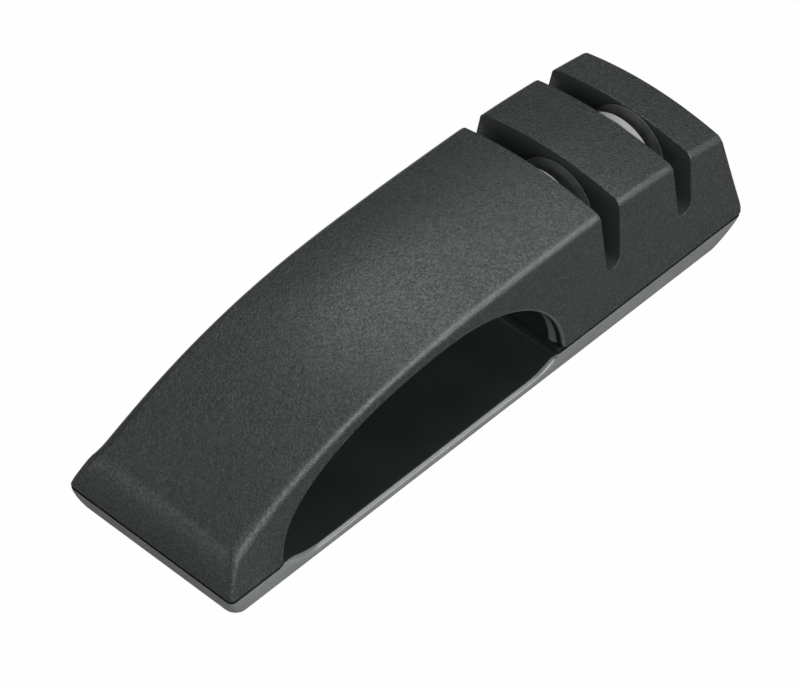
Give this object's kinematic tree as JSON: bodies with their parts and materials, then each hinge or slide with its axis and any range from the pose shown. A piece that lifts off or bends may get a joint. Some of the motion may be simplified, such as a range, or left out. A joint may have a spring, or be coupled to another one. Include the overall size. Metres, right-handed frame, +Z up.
{
  "type": "manual knife sharpener",
  "caption": "Hand-held pull-through knife sharpener: arched grip over a flat base, with coarse and fine blade slots that each hold a pair of freely turning ceramic wheels.",
  "frame": {"origin": "middle of the body's length and width, on the plane that the rubber feet stand on", "axes": "+X along the body from the grip end towards the slot end, +Y to the left when facing along +X, +Z up"},
  "size_m": [0.19, 0.054, 0.0446],
  "materials": {
    "shell_plastic": "finely textured dark grey ABS",
    "liner_plastic": "smooth satin dark grey",
    "base_plastic": "smooth moulded dark grey",
    "foot_rubber": "matt black",
    "screw_steel": "zinc plated",
    "axle_steel": "ground and polished",
    "carrier_plastic": "satin near black",
    "coarse_ceramic": "bonded coarse grit, off white",
    "fine_ceramic": "fired fine grit, white",
    "bush_plastic": "natural nylon"
  },
  "bodies": {
    "housing": {"top_shell": "shell_plastic", "grip_liner": "liner_plastic", "base": "base_plastic", "foot_tail_left": "foot_rubber", "foot_tail_right": "foot_rubber", "foot_head_left": "foot_rubber", "foot_head_right": "foot_rubber", "screw_tail_left": "screw_steel", "screw_tail_right": "screw_steel", "screw_head_left": "screw_steel", "screw_head_right": "screw_steel", "coarse_carrier": "carrier_plastic", "coarse_axle": "axle_steel", "coarse_clip": "axle_steel", "fine_carrier": "carrier_plastic", "fine_axle": "axle_steel", "fine_clip": "axle_steel"},
    "coarse_grip_roller": {"coarse_wheel_grip": "coarse_ceramic", "coarse_bush_grip": "bush_plastic"},
    "coarse_head_roller": {"coarse_wheel_head": "coarse_ceramic", "coarse_bush_head": "bush_plastic"},
    "fine_grip_roller": {"fine_wheel_grip": "fine_ceramic", "fine_bush_grip": "bush_plastic"},
    "fine_head_roller": {"fine_wheel_head": "fine_ceramic", "fine_bush_head": "bush_plastic"}
  },
  "joints": [
    {"name": "coarse_grip_spin", "type": "hinge", "parent": "housing", "child": "coarse_grip_roller", "pos_m": [0.0435, -0.0034, 0.0296], "axis": [1, 0, 0], "continuous": true},
    {"name": "coarse_head_spin", "type": "hinge", "parent": "housing", "child": "coarse_head_roller", "pos_m": [0.0435, -0.0034, 0.0296], "axis": [1, 0, 0], "continuous": true},
    {"name": "fine_grip_spin", "type": "hinge", "parent": "housing", "child": "fine_grip_roller", "pos_m": [0.0715, -0.0034, 0.0296], "axis": [1, 0, 0], "continuous": true},
    {"name": "fine_head_spin", "type": "hinge", "parent": "housing", "child": "fine_head_roller", "pos_m": [0.0715, -0.0034, 0.0296], "axis": [1, 0, 0], "continuous": true}
  ]
}
